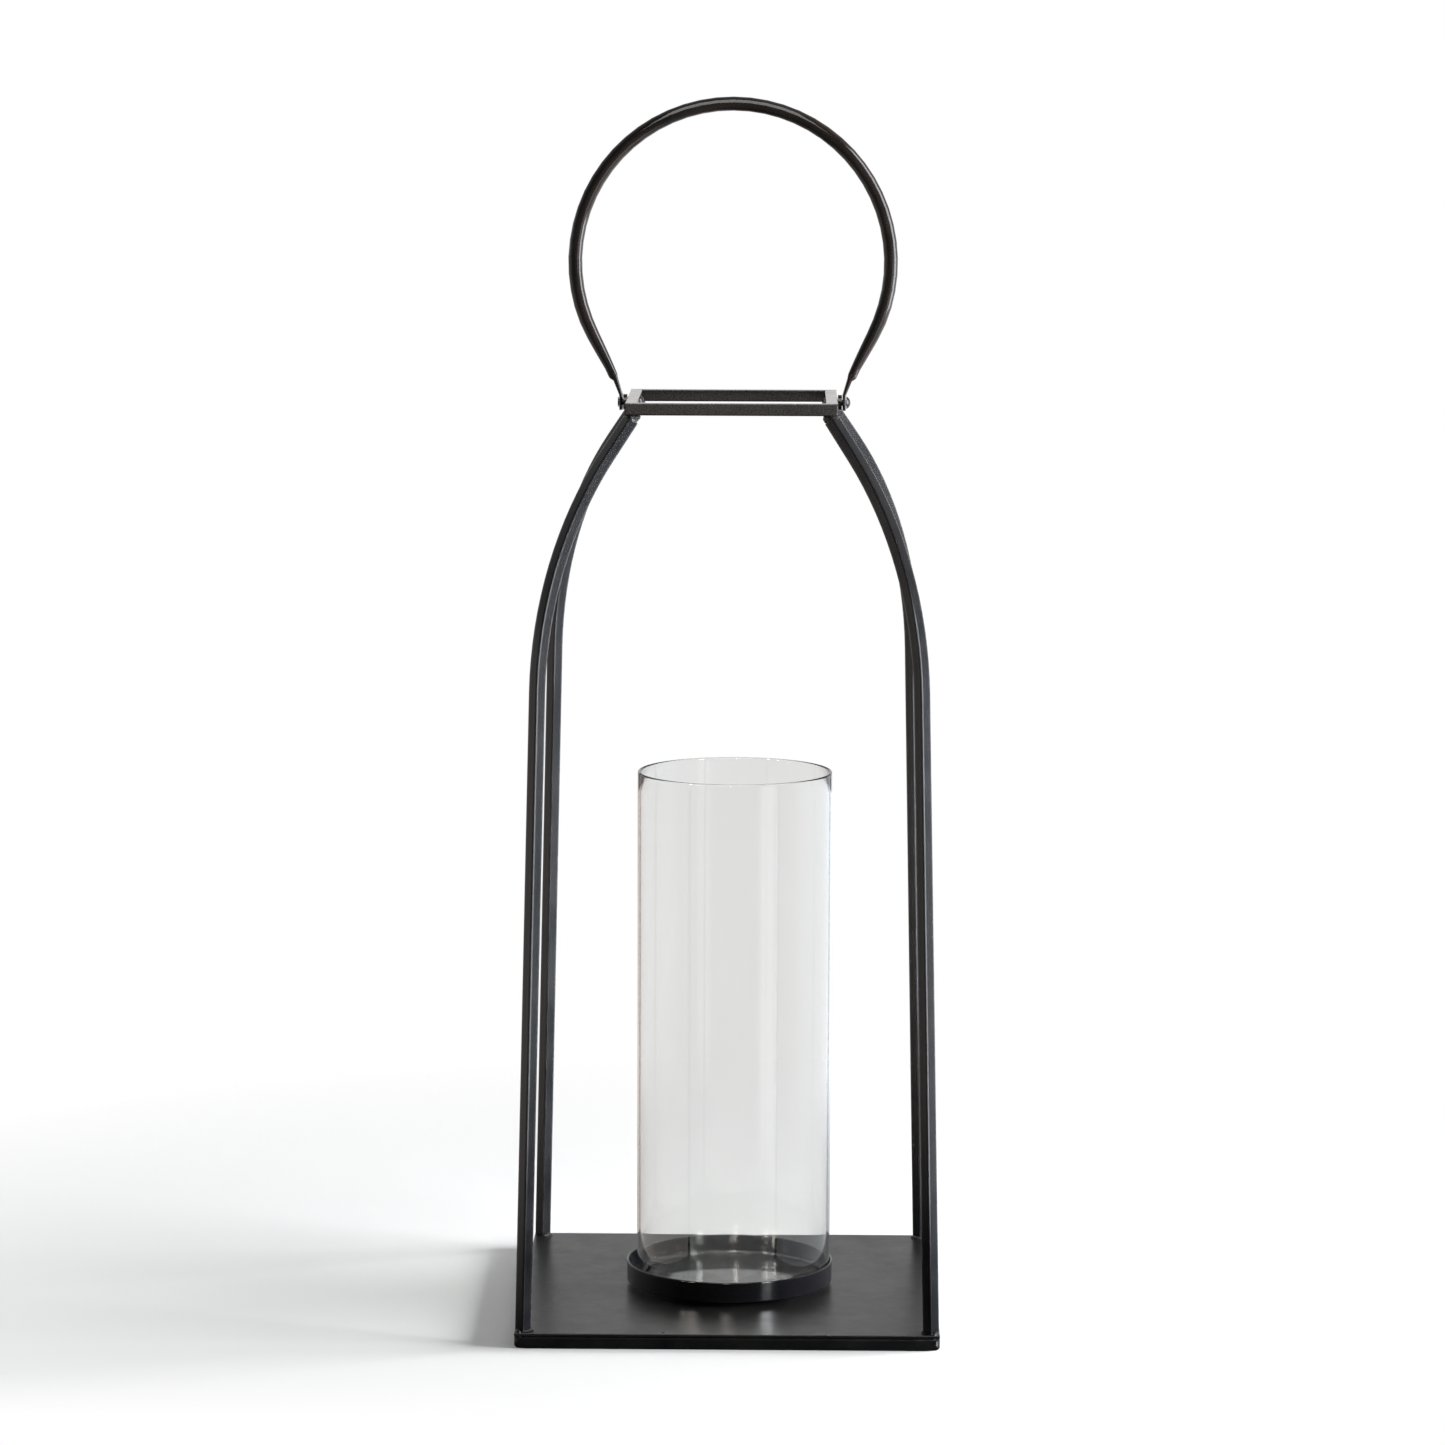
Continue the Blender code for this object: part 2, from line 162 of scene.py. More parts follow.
# Paint: scales in noise cells a metre
CLOUD_SCALE = 38.0
GLOSS_SCALE = 75.0
SHINE_SCALE = 1500.0
WEAR_SCALE = 70.0
PEEL_SCALE = 110.0
GRAIN_SCALE = 1400.0
LIGHTER_EDGE_TURN = (0.96, 0.80)  # cosine of the rounding where the lighter edge (paint wear and painted highlight) starts and where it is full
WORN_SMOOTHER = 0.08
BEVEL_SAMPLES = 8
LARGE_SPECKS = (95.0, 0.024, 0.03)  # scale, size and share, as Nodes.specks takes them
SMALL_SPECKS = (420.0, 0.06, 0.002)
SPECK_COLOUR = (0.45, 0.44, 0.42)
SPECK_HEIGHT = 0.00003
WELD_DARK = (0.010, 0.010, 0.011)
WELD_LIGHT = (0.030, 0.027, 0.025)
ENAMEL_IOR = 1.65

# Grey tint inside the glass, with painted reflections in its lighter and darker strokes
FILM_DARK_STROKE = (0.585, 0.590, 0.578)
FILM_LIGHT_STROKE = (0.655, 0.660, 0.648)
BARE_GLASS = (0.985, 0.988, 0.985)
GLASS_SHADOW = (0.90, 0.91, 0.90, 1.0)
GLASS_IOR = 1.48

# Studio
WHITE = (1.0, 1.0, 1.0, 1.0)
COOL = (0.86, 0.93, 1.0)
DAYLIGHT = (0.95, 0.98, 1.0)
WARM = (1.0, 0.92, 0.84)
FLOOR_HALF = 40.0
FLOOR_GREY = (0.80, 0.80, 0.80, 1.0)
FLOOR_GLOW_NEAR = 0.10
FLOOR_MELTS = (0.24, 0.62)  # distances from the lantern over which it melts into the backdrop
FRONT_MELTS = (-0.112, -0.23)  # the same in front of the lantern, along Y
WINDOW_BEARING = 40 * DEGREE  # of the bright strip that a window lays on the mirrored floor
FLOOR_THROUGH_GLASS = 0.8  # least strength of the floor as the glass refracts it
WORLD_FILL = 0.2
COVE_THROUGH_GLASS = (0.85, 0.85, 0.84)


# ---------------------------------------------------------------- materials

class Nodes:
    """Short calls for building the node tree of a material or a world."""

    def __init__(self, owner, shader, output, coordinates):
        owner.use_nodes = True
        self.owner = owner
        self.tree = owner.node_tree
        self.shader = self.tree.nodes[shader]
        self.output = self.tree.nodes[output]
        self.position = self.add("ShaderNodeTexCoord").outputs[coordinates]

    def add(self, kind, **settings):
        node = self.tree.nodes.new(kind)
        for key, value in settings.items():
            setattr(node, key, value)
        return node

    def link(self, source, target):
        self.tree.links.new(source, target)

    def noise(self, scale, detail=3.0, roughness=0.5, stretch=None):
        node = self.add("ShaderNodeTexNoise")
        node.inputs["Scale"].default_value = scale
        node.inputs["Detail"].default_value = detail
        node.inputs["Roughness"].default_value = roughness
        place = self.position
        if stretch is not None:
            mapping = self.add("ShaderNodeMapping")
            mapping.inputs["Scale"].default_value = stretch
            self.link(place, mapping.inputs["Vector"])
            place = mapping.outputs["Vector"]
        self.link(place, node.inputs["Vector"])
        return node.outputs["Fac"]

    def remap(self, value, low, high, to_low, to_high):
        node = self.add("ShaderNodeMapRange")
        node.inputs["From Min"].default_value = low
        node.inputs["From Max"].default_value = high
        node.inputs["To Min"].default_value = to_low
        node.inputs["To Max"].default_value = to_high
        self.link(value, node.inputs["Value"])
        return node.outputs["Result"]

    def math(self, operation, first, second):
        node = self.add("ShaderNodeMath", operation=operation)
        for socket, value in zip(node.inputs, (first, second)):
            if isinstance(value, (int, float)):
                socket.default_value = value
            else:
                self.link(value, socket)
        return node.outputs["Value"]

    def length(self, vector):
        node = self.add("ShaderNodeVectorMath", operation="LENGTH")
        self.link(vector, node.inputs[0])
        return node.outputs["Value"]

    def blend(self, share, first, second):
        node = self.add("ShaderNodeMix", data_type="RGBA")
        sockets = [s for s in node.inputs if s.enabled]
        for socket, value in zip(sockets, (share, first, second)):
            if isinstance(value, tuple):
                socket.default_value = (*value, 1.0)
            else:
                self.link(value, socket)
        return next(s for s in node.outputs if s.enabled)

    def blend_shaders(self, share, first, second):
        node = self.add("ShaderNodeMixShader")
        for socket, value in zip(node.inputs, (share, first, second)):
            self.link(value, socket)
        return node.outputs["Shader"]

    def ramp(self, value, stops, interpolation="LINEAR"):
        """A colour ramp through grey or coloured stops, each (position, colour)."""
        node = self.add("ShaderNodeValToRGB")
        node.color_ramp.interpolation = interpolation
        elements = node.color_ramp.elements
        for element, (position, colour) in zip((elements[0], elements[1]), (stops[0], stops[-1])):
            element.position = position
            element.color = (*colour, 1.0)
        for position, colour in stops[1:-1]:
            elements.new(position).color = (*colour, 1.0)
        self.link(value, node.inputs["Fac"])
        return node.outputs["Color"]

    def specks(self, scale, size, share):
        """1 on sparse round specks: size is their radius in cells, share how many cells have one."""
        cells = self.add("ShaderNodeTexVoronoi")
        cells.inputs["Scale"].default_value = scale
        self.link(self.position, cells.inputs["Vector"])
        chosen = self.add("ShaderNodeSeparateColor")
        self.link(cells.outputs["Color"], chosen.inputs["Color"])
        near = self.math("LESS_THAN", cells.outputs["Distance"], size)
        picked = self.math("LESS_THAN", chosen.outputs["Red"], share)
        return self.math("MULTIPLY", near, picked)

    def bump(self, height, distance, under=None):
        node = self.add("ShaderNodeBump")
        node.inputs["Strength"].default_value = 1.0
        node.inputs["Distance"].default_value = distance
        self.link(height, node.inputs["Height"])
        if under is not None:
            self.link(under, node.inputs["Normal"])
        return node.outputs["Normal"]

    def seen_directly(self, path):
        """1 where the camera sees the surface itself or through the glass, 0 in reflections."""
        seen = self.math("MAXIMUM", path["Is Camera Ray"], path["Is Transmission Ray"])
        unmirrored = self.math("LESS_THAN", path["Glossy Depth"], 0.5)
        return self.math("MULTIPLY", seen, unmirrored)


def material_nodes(name):
    return Nodes(bpy.data.materials.new(name), "Principled BSDF", "Material Output", "Object")


def paint(name, dark, light, gloss, grain, specular=0.5, edge=None, mottle=0.35):
    """Sprayed black paint: cloudy tone, uneven gloss, orange peel, lighter edges and pale specks.

    gloss is the roughness of its smoothest and dullest places. grain is (coarse, fine) bump height.
    edge is (radius, colour) of edges painted lighter, partly as paint wear and partly as a painted
    highlight line. mottle is how much the shine changes from one grain of paint to the next.
    """
    n = material_nodes(name)
    cloud = n.noise(CLOUD_SCALE, 4.0, 0.6)
    tone = n.blend(n.remap(cloud, 0.35, 0.68, 0.0, 1.0), dark, light)
    rough = n.remap(n.noise(GLOSS_SCALE, 5.0, 0.65), 0.3, 0.7, *gloss)
    uneven = n.noise(SHINE_SCALE, 2.0, 0.7)
    shine = n.remap(uneven, 0.36, 0.64, specular * (1 - mottle), specular * (1 + mottle))
    n.link(shine, n.shader.inputs["Specular IOR Level"])
    normal = None
    # Lighter edges: paint wear, and a painted highlight line along the rounding.
    if edge is not None:
        radius, edge_wear_and_highlight = edge
        rounded = n.add("ShaderNodeBevel", samples=BEVEL_SAMPLES)
        rounded.inputs["Radius"].default_value = radius
        normal = rounded.outputs["Normal"]
        flat = n.add("ShaderNodeNewGeometry").outputs["Normal"]
        turned = n.add("ShaderNodeVectorMath", operation="DOT_PRODUCT")
        n.link(normal, turned.inputs[0])
        n.link(flat, turned.inputs[1])
        on_edge = n.remap(turned.outputs["Value"], *LIGHTER_EDGE_TURN, 0.0, 1.0)
        broken = n.remap(n.noise(WEAR_SCALE, 4.0, 0.6), 0.36, 0.60, 0.55, 1.0)
        wear_and_highlight = n.math("MULTIPLY", on_edge, broken)
        tone = n.blend(wear_and_highlight, tone, edge_wear_and_highlight)
        rough = n.math("SUBTRACT", rough, n.math("MULTIPLY", wear_and_highlight, WORN_SMOOTHER))
    specks = n.math("MAXIMUM", n.specks(*LARGE_SPECKS), n.specks(*SMALL_SPECKS))
    tone = n.blend(specks, tone, SPECK_COLOUR)
    n.link(tone, n.shader.inputs["Base Color"])
    n.link(rough, n.shader.inputs["Roughness"])
    coarse, fine = grain
    normal = n.bump(n.noise(PEEL_SCALE, 3.0, 0.5), coarse, under=normal)
    normal = n.bump(n.noise(GRAIN_SCALE, 2.0, 0.6), fine, under=normal)
    normal = n.bump(specks, SPECK_HEIGHT, under=normal)
    n.link(normal, n.shader.inputs["Normal"])
    return n.owner


def enamel():
    """The tray's inner coat, glossier than its outside."""
    coat = paint(
        "tray_enamel", dark=(0.002, 0.002, 0.003), light=(0.004, 0.004, 0.005),
        gloss=(0.05, 0.10), grain=(0.00001, 0.000003), specular=1.0, mottle=0.15,
    )
    coat.node_tree.nodes["Principled BSDF"].inputs["IOR"].default_value = ENAMEL_IOR
    return coat


def weld_metal():
    """Painted weld metal: blotchy, rough and rippled."""
    n = material_nodes("weld_paint")
    cloud = n.remap(n.noise(220.0, 4.0, 0.6), 0.35, 0.7, 0.0, 1.0)
    n.link(n.blend(cloud, WELD_DARK, WELD_LIGHT), n.shader.inputs["Base Color"])
    n.link(n.remap(n.noise(160.0, 3.0), 0.3, 0.7, 0.16, 0.42), n.shader.inputs["Roughness"])
    n.link(n.bump(n.noise(420.0, 4.0, 0.6), 0.0004), n.shader.inputs["Normal"])
    return n.owner


def clear_glass():
    """Clear glass tinted grey inside, lighter and darker in slanting strokes that are painted
    reflections.

    The film darkens a ray only where it enters the wall from inside the cylinder.
    """
    low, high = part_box("glass_cylinder")
    outer = (high.x - low.x) / 2
    n = material_nodes("clear_glass")
    n.shader.inputs["Transmission Weight"].default_value = 1.0
    n.shader.inputs["IOR"].default_value = GLASS_IOR
    # The lighter and darker strokes are painted reflections.
    strokes = n.noise(9.0, 4.0, 0.55, stretch=(1.0, 1.0, 0.55))
    tint_and_reflections = n.blend(n.remap(strokes, 0.36, 0.66, 0.0, 1.0), FILM_DARK_STROKE, FILM_LIGHT_STROKE)
    across = n.add("ShaderNodeVectorMath", operation="MULTIPLY")
    across.inputs[1].default_value = (1.0, 1.0, 0.0)
    n.link(n.position, across.inputs[0])
    inside = n.math("LESS_THAN", n.length(across.outputs["Vector"]), outer - GLASS_WALL / 2)
    entering = n.math("SUBTRACT", 1.0, n.add("ShaderNodeNewGeometry").outputs["Backfacing"])
    tint = n.blend(n.math("MULTIPLY", inside, entering), BARE_GLASS, tint_and_reflections)
    n.link(tint, n.shader.inputs["Base Color"])
    smear = n.noise(14.0, 3.0, 0.55, stretch=(1.0, 1.0, 0.35))
    n.link(n.remap(smear, 0.45, 0.8, 0.0, 0.03), n.shader.inputs["Roughness"])
    waves = n.noise(26.0, 2.0, 0.4, stretch=(1.0, 1.0, 0.12))
    n.link(n.bump(waves, 0.00010), n.shader.inputs["Normal"])
    path = n.add("ShaderNodeLightPath").outputs
    shadow = n.add("ShaderNodeBsdfTransparent")
    shadow.inputs["Color"].default_value = GLASS_SHADOW
    surface = n.blend_shaders(
        path["Is Shadow Ray"], n.shader.outputs["BSDF"], shadow.outputs["BSDF"]
    )
    n.link(surface, n.output.inputs["Surface"])
    return n.owner


def floor_as_seen(n, place, away):
    """A lit white surface that takes shadows near the lantern and melts into the backdrop."""
    n.link(n.remap(n.noise(3.0), 0.3, 0.7, 0.80, 0.84), n.shader.inputs["Roughness"])
    n.shader.inputs["Base Color"].default_value = FLOOR_GREY
    n.shader.inputs["Emission Color"].default_value = WHITE
    n.shader.inputs["Emission Strength"].default_value = FLOOR_GLOW_NEAR
    far_off = n.remap(away, *FLOOR_MELTS, 0.0, 1.0)
    in_front = n.remap(place.outputs["Y"], *FRONT_MELTS, 0.0, 1.0)
    backdrop = n.add("ShaderNodeEmission").outputs["Emission"]
    lit = n.shader.outputs["BSDF"]
    return n.blend_shaders(n.math("MAXIMUM", far_off, in_front), lit, backdrop)


def floor_as_mirrored(n, place, away, path):
    """The floor in reflections: bright behind and beside the lantern, dim in front but for a window,
    and darkened near the lantern by a painted shadow.

    Its bearing from the lantern is 0 towards the camera and positive to the right.
    """
    ahead = n.math("MULTIPLY", place.outputs["Y"], -1.0)
    bearing = n.math("ARCTAN2", place.outputs["X"], ahead)
    off_axis = n.math("ABSOLUTE", bearing, 0.0)
    sides = n.remap(off_axis, 50 * DEGREE, 84 * DEGREE, 0.16, 0.90)
    off_window = n.math("ABSOLUTE", n.math("SUBTRACT", bearing, WINDOW_BEARING), 0.0)
    window = n.remap(off_window, 5 * DEGREE, 15 * DEGREE, 1.5, 0.0)
    # The window's strip is left out near the lantern, within the painted shadow.
    window = n.math("MULTIPLY", window, n.remap(away, 0.2, 0.5, 0.0, 1.0))
    left = n.remap(bearing, -100 * DEGREE, -60 * DEGREE, -0.25, 0.0)
    right = n.remap(bearing, 60 * DEGREE, 100 * DEGREE, 0.0, 0.40)
    level = n.math("ADD", n.math("ADD", sides, window), n.math("ADD", left, right))
    # Painted shadow: the floor that reflections see darkens towards the lantern.
    level = n.math("MULTIPLY", level, n.remap(away, 0.12, 0.60, 0.22, 1.0))
    through = n.math("MULTIPLY", path["Is Transmission Ray"], FLOOR_THROUGH_GLASS)
    room = n.add("ShaderNodeEmission")
    n.link(n.math("MAXIMUM", level, through), room.inputs["Strength"])
    tint = n.remap(bearing, -90 * DEGREE, 90 * DEGREE, 0.0, 1.0)
    n.link(n.blend(tint, (1.0, 0.91, 0.86), (0.90, 0.95, 1.0)), room.inputs["Color"])
    return room.outputs["Emission"]


def floor_material():
    """White floor. Reflections see it unlike the camera does, to stand in for a room with windows."""
    n = material_nodes("studio_floor")
    away = n.length(n.position)
    place = n.add("ShaderNodeSeparateXYZ")
    n.link(n.position, place.inputs["Vector"])
    path = n.add("ShaderNodeLightPath").outputs
    mirrored = floor_as_mirrored(n, place, away, path)
    seen = floor_as_seen(n, place, away)
    surface = n.blend_shaders(n.seen_directly(path), mirrored, seen)
    n.link(surface, n.output.inputs["Surface"])
    return n.owner


# Each edge colour below is paler than its paint: paint wear and a painted highlight line along the
# edges.
BAR_PAINT = paint(
    "bar_paint", dark=(0.004, 0.004, 0.005), light=(0.010, 0.010, 0.011),
    gloss=(0.14, 0.24), grain=(0.00003, 0.000006),
    edge=(0.0020, (0.115, 0.118, 0.128)), mottle=0.22,
)
BASE_PAINT = paint(
    "base_paint", dark=(0.004, 0.004, 0.005), light=(0.010, 0.010, 0.010),
    gloss=(0.14, 0.24), grain=(0.00003, 0.000006),
    edge=(0.0012, (0.030, 0.030, 0.030)),
)
TOP_PAINT = paint(
    "bar_paint_top", dark=(0.008, 0.007, 0.006), light=(0.020, 0.016, 0.014),
    gloss=(0.16, 0.24), grain=(0.00002, 0.000004),
    edge=(0.0006, (0.110, 0.100, 0.090)), mottle=0.6,
)
# The plate's pale edge colour is a painted highlight along its edges.
PLATE_PAINT = paint(
    "plate_paint", dark=(0.006, 0.006, 0.006), light=(0.012, 0.012, 0.012),
    gloss=(0.27, 0.37), grain=(0.00001, 0.000006), specular=0.58,
    edge=(0.0006, (0.420, 0.410, 0.390)), mottle=0.15,
)
TRAY_PAINT = paint(
    "tray_paint", dark=(0.002, 0.002, 0.003), light=(0.004, 0.004, 0.005),
    gloss=(0.05, 0.10), grain=(0.00001, 0.000003),
    edge=(0.0006, (0.030, 0.030, 0.032)), mottle=0.3,
)
TRAY_INSIDE = enamel()
HANDLE_PAINT = paint(
    "handle_paint", dark=(0.008, 0.006, 0.005), light=(0.020, 0.015, 0.013),
    gloss=(0.07, 0.12), grain=(0.00001, 0.000002), mottle=0.2,
)
RIVET_PAINT = paint(
    "rivet_paint", dark=(0.006, 0.006, 0.006), light=(0.014, 0.012, 0.011),
    gloss=(0.12, 0.20), grain=(0.00003, 0.00001),
)
WELD_PAINT = weld_metal()
CLEAR_GLASS = clear_glass()

# The first of these words that a node's name starts with gives its paint
NODE_PAINT = (
    ("base_plate", PLATE_PAINT),
    ("base_rail", BASE_PAINT),
    ("top_rail", TOP_PAINT),
    ("candle_tray", TRAY_PAINT),
    ("handle_rivet", RIVET_PAINT),
    ("handle_washer", RIVET_PAINT),
    ("handle", HANDLE_PAINT),
    ("", BAR_PAINT),
)


# ---------------------------------------------------------------- pieces

def mesh_of(shape, name):
    """Turns the bmesh into a mesh of this name, and frees it."""
    mesh = bpy.data.meshes.new(name)
    shape.to_mesh(mesh)
    shape.free()
    return mesh


def ordered_mesh_of(shape, name):
    """As mesh_of, with points and faces sorted by place, so that each run gives the same mesh.

    The cuts at a base corner leave them in an order that varies from run to run.
    """
    points = sorted(shape.verts, key=lambda vert: tuple(vert.co))
    number = {vert: index for index, vert in enumerate(points)}
    faces = []
    for face in shape.faces:
        loop = [number[vert] for vert in face.verts]
        start = loop.index(min(loop))
        faces.append(loop[start:] + loop[:start])
    mesh = bpy.data.meshes.new(name)
    mesh.from_pydata([tuple(vert.co) for vert in points], [], sorted(faces))
    shape.free()
    return mesh


def link_piece(name, mesh, material, body):
    piece = bpy.data.objects.new(name, mesh)
    bpy.context.scene.collection.objects.link(piece)
    mesh.materials.append(material)
    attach(piece, body)
    return piece


def round_base_corners(shape, inset=0.0):
    """Rounds the four outer lower corners of the base, where the mitres were welded and filed."""
    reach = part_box("base_rail_right")[1].x - inset
    for _, x, y in CORNERS:
        centre = Vector((x, y, 0)) * (reach - CORNER_ROUND) + Vector((0, 0, CORNER_ROUND))
        for turn, dip in CORNER_CUTS:
            flat = math.cos(dip * DEGREE)
            outward = Vector((
                x * flat * math.cos(turn * DEGREE),
                y * flat * math.sin(turn * DEGREE),
                -math.sin(dip * DEGREE),
            ))
            cut = bmesh.ops.bisect_plane(
                shape,
                geom=shape.verts[:] + shape.edges[:] + shape.faces[:],
                plane_co=centre + outward * CORNER_ROUND,
                plane_no=outward,
                clear_outer=True,
            )
            rim = [e for e in cut["geom_cut"] if isinstance(e, bmesh.types.BMEdge)]
            if rim:
                bmesh.ops.contextual_create(shape, geom=rim)


def fill_out_handle_ends(shape):
    """Keeps the tube full down to a short round crimp, below which it is folded into the tab."""
    crimp_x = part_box("top_rail_right")[1].x + TAB_OUT + TAB_FLARE
    crimp_z = PIVOT_Z + TAB_RISE
    lean = Vector((math.sin(SHANK_LEAN), math.cos(SHANK_LEAN)))
    across = Vector((lean.y, -lean.x))

    def along_and_out(vert):
        place = Vector((abs(vert.co.x) - crimp_x, vert.co.z - crimp_z))
        return place.dot(lean), place.dot(across)

    halves = {}
    for vert in shape.verts:
        along, out = along_and_out(vert)
        if -ROW_PLAY < along < PINCH_REACH:
            row = round(along, 5)
            halves[row] = max(halves.get(row, 0.0), abs(out))
    rows = sorted(halves.items())
    last, last_half = rows[-1]

    lengthwise = []
    for edge in shape.edges:
        first, second = (along_and_out(vert)[0] for vert in edge.verts)
        if min(first, second) > -ROW_PLAY and max(first, second) < last + ROW_PLAY:
            if abs(first - second) > LONGEST_ACROSS:
                lengthwise.append(edge)
    bmesh.ops.subdivide_edges(shape, edges=lengthwise, cuts=PINCH_CUTS, use_grid_fill=True)

    for vert in shape.verts:
        along, out = along_and_out(vert)
        if not -ROW_PLAY < along < last - ROW_PLAY / 2:
            continue
        along = max(along, 0.0)
        for (start, start_half), (end, end_half) in zip(rows, rows[1:]):
            if along <= end:
                half = start_half + (end_half - start_half) * (along - start) / (end - start)
                break
        round_end = math.sin(min(along / CRIMP_END, 1.0) * math.pi / 2)
        full = FOLD_HALF + (FULL_HALF - FOLD_HALF) * round_end
        full += (last_half - FULL_HALF) * along / last
        out = out * full / half + CRIMP_SHIFT * round_end * (1 - along / last)
        moved = lean * along + across * out
        vert.co.x = math.copysign(moved.x + crimp_x, vert.co.x)
        vert.co.z = moved.y + crimp_z


def smoothed_copy(node):
    """The CAD solid with its facets joined again, so that round surfaces shade smooth."""
    shape = bmesh.new()
    shape.from_mesh(frame["nodes"][node].data)
    bmesh.ops.remove_doubles(shape, verts=shape.verts, dist=MERGE_DISTANCE)
    bmesh.ops.dissolve_limit(shape, angle_limit=FLAT_ANGLE, verts=shape.verts, edges=shape.edges)
    if node.startswith("base_rail"):
        round_base_corners(shape)
    if node == "handle":
        fill_out_handle_ends(shape)
    mesh = mesh_of(shape, node + "_painted")
    mesh.shade_smooth()
    mesh.set_sharp_from_angle(angle=SMOOTH_ANGLE)
    return mesh


def enamel_inside(tray):
    """Gives the tray's inner wall and floor their own, glossier coat."""
    low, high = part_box("candle_tray")
    tray.materials.append(TRAY_INSIDE)
    inner = (high.x - low.x) / 2 - TRAY_RIM
    for face in tray.polygons:
        middle = face.center
        reach = math.hypot(middle.x, middle.y)
        inward = face.normal.x * middle.x + face.normal.y * middle.y < INWARD
        if reach < inner and (inward or face.normal.z > UPWARD):
            face.material_index = 1


def make_painted_nodes():
    """Every metal node, as a smooth-shaded copy in its own paint."""
    for node, source in frame["nodes"].items():
        if node == "glass_cylinder":
            continue
        material = next(coat for start, coat in NODE_PAINT if node.startswith(start))
        piece = link_piece(node + "_painted", smoothed_copy(node), material, source["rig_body"])
        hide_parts(node)
        if node == "candle_tray":
            enamel_inside(piece.data)
        if node != "handle":
            flats = piece.modifiers.new("flat_faces", "WEIGHTED_NORMAL")
            flats.weight = FLAT_FACE_WEIGHT
            flats.keep_sharp = True


def arc_points(centre, radius, start, end, steps):
    points = []
    for step in range(steps + 1):
        angle = start + (end - start) * step / steps
        points.append(Vector(centre) + radius * Vector((math.cos(angle), math.sin(angle))))
    return points


def make_glass():
    """Drawn glass tube with round, fire-polished rims at both ends."""
    low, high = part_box("glass_cylinder")
    outer = (high.x - low.x) / 2
    height = high.z - low.z
    half = GLASS_WALL / 2
    middle = outer - half
    profile = arc_points((middle, height - half), half, math.pi, 0, RIM_STEPS)
    profile += [Vector((outer, height * share)) for share in reversed(WALL_SHARES)]
    profile += arc_points((middle, half), half, 0, -math.pi, RIM_STEPS)
    profile += [Vector((outer - GLASS_WALL, height * share)) for share in WALL_SHARES]
    count = len(profile)
    mesh = bpy.data.meshes.new("glass_cylinder_clear")
    edges = [(i, (i + 1) % count) for i in range(count)]
    mesh.from_pydata([(p.x, 0, p.y) for p in profile], edges, [])
    piece = link_piece(mesh.name, mesh, CLEAR_GLASS, GLASS_BODY)
    turn = piece.modifiers.new("turn", "SCREW")
    turn.steps = GLASS_STEPS
    turn.render_steps = GLASS_STEPS
    turn.use_merge_vertices = True
    turn.merge_threshold = GLASS_MERGE
    turn.use_smooth_shade = True
    piece.location = ((low.x + high.x) / 2, (low.y + high.y) / 2, low.z)
    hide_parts("glass_cylinder")


def weld_bead(name, centre, radii, turn, seed, lump):
    """A frozen weld bead: an icosphere squashed to its radii and pushed about by noise."""
    shape = bmesh.new()
    bmesh.ops.create_icosphere(shape, subdivisions=4, radius=1.0)
    offset = Vector((seed * 3.7, seed * 1.9, seed * 5.3))
    for vert in shape.verts:
        coarse = noise.noise(vert.co * COARSE_LUMPS + offset)
        fine = noise.noise(vert.co * FINE_LUMPS + offset)
        swell = 1 + lump * coarse + lump / 2 * fine
        scaled = Vector((a * b for a, b in zip(vert.co * swell, radii)))
        vert.co = turn @ scaled + centre
    mesh = mesh_of(shape, name)
    mesh.shade_smooth()
    link_piece(name, mesh, WELD_PAINT, FRAME_BODY)


def make_welds():
    """The beads that join each leg to the top frame and to the base."""
    top_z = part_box("top_rail_front")[0].z
    top_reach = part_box("top_rail_right")[1].x - BAR / 2
    foot_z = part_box("base_plate")[1].z
    for index, (corner, x, y) in enumerate(CORNERS):
        leg_low, leg_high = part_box("leg_" + corner)
        foot_reach = max(abs(leg_low.x), abs(leg_high.x)) - BAR / math.sqrt(2)
        ends = {"top": (top_reach, top_z), "foot": (foot_reach, foot_z)}
        turn = Matrix.Rotation(math.atan2(y, x), 3, "Z")
        for kind, (name, end, out, up, radii, lump) in enumerate(WELDS):
            reach, height = ends[end]
            centre = Vector((x * (reach + out), y * (reach + out), height + up))
            seed = index + 1 + WELD_SEED_STEP * kind
            weld_bead(f"{name}_{corner}", centre, radii, turn, seed, lump)


def make_mitre_seams():
    """The welded and filed mitres: a filler just inside the bars' skin closes each 0.3 mm gap."""
    size = BAR - 2 * SEAM_INSET
    for prefix in ("base", "top"):
        low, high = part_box(f"{prefix}_rail_front")
        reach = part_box(f"{prefix}_rail_right")[1].x - BAR / 2
        for corner, x, y in CORNERS:
            shape = bmesh.new()
            bmesh.ops.create_cube(shape, size=1.0)
            bmesh.ops.scale(shape, vec=(size * math.sqrt(2), SEAM_WIDTH, size), verts=shape.verts)
            lengthwise = [
                e for e in shape.edges if abs(e.verts[0].co.x - e.verts[1].co.x) > BAR / 2
            ]
            bmesh.ops.bevel(
                shape, geom=lengthwise, offset=SEAM_BEVEL, segments=1, profile=0.5, affect="EDGES"
            )
            turn = Matrix.Rotation(math.atan2(y, x), 3, "Z")
            bmesh.ops.rotate(shape, matrix=turn, verts=shape.verts)
            centre = Vector((x * reach, y * reach, (low.z + high.z) / 2))
            bmesh.ops.translate(shape, vec=centre, verts=shape.verts)
            if prefix == "base":
                round_base_corners(shape, SEAM_CORNER_INSET)
            name = f"mitre_{prefix}_{corner}"
            link_piece(name, ordered_mesh_of(shape, name), WELD_PAINT, FRAME_BODY)


make_painted_nodes()
make_glass()
make_welds()
make_mitre_seams()


# ---------------------------------------------------------------- studio

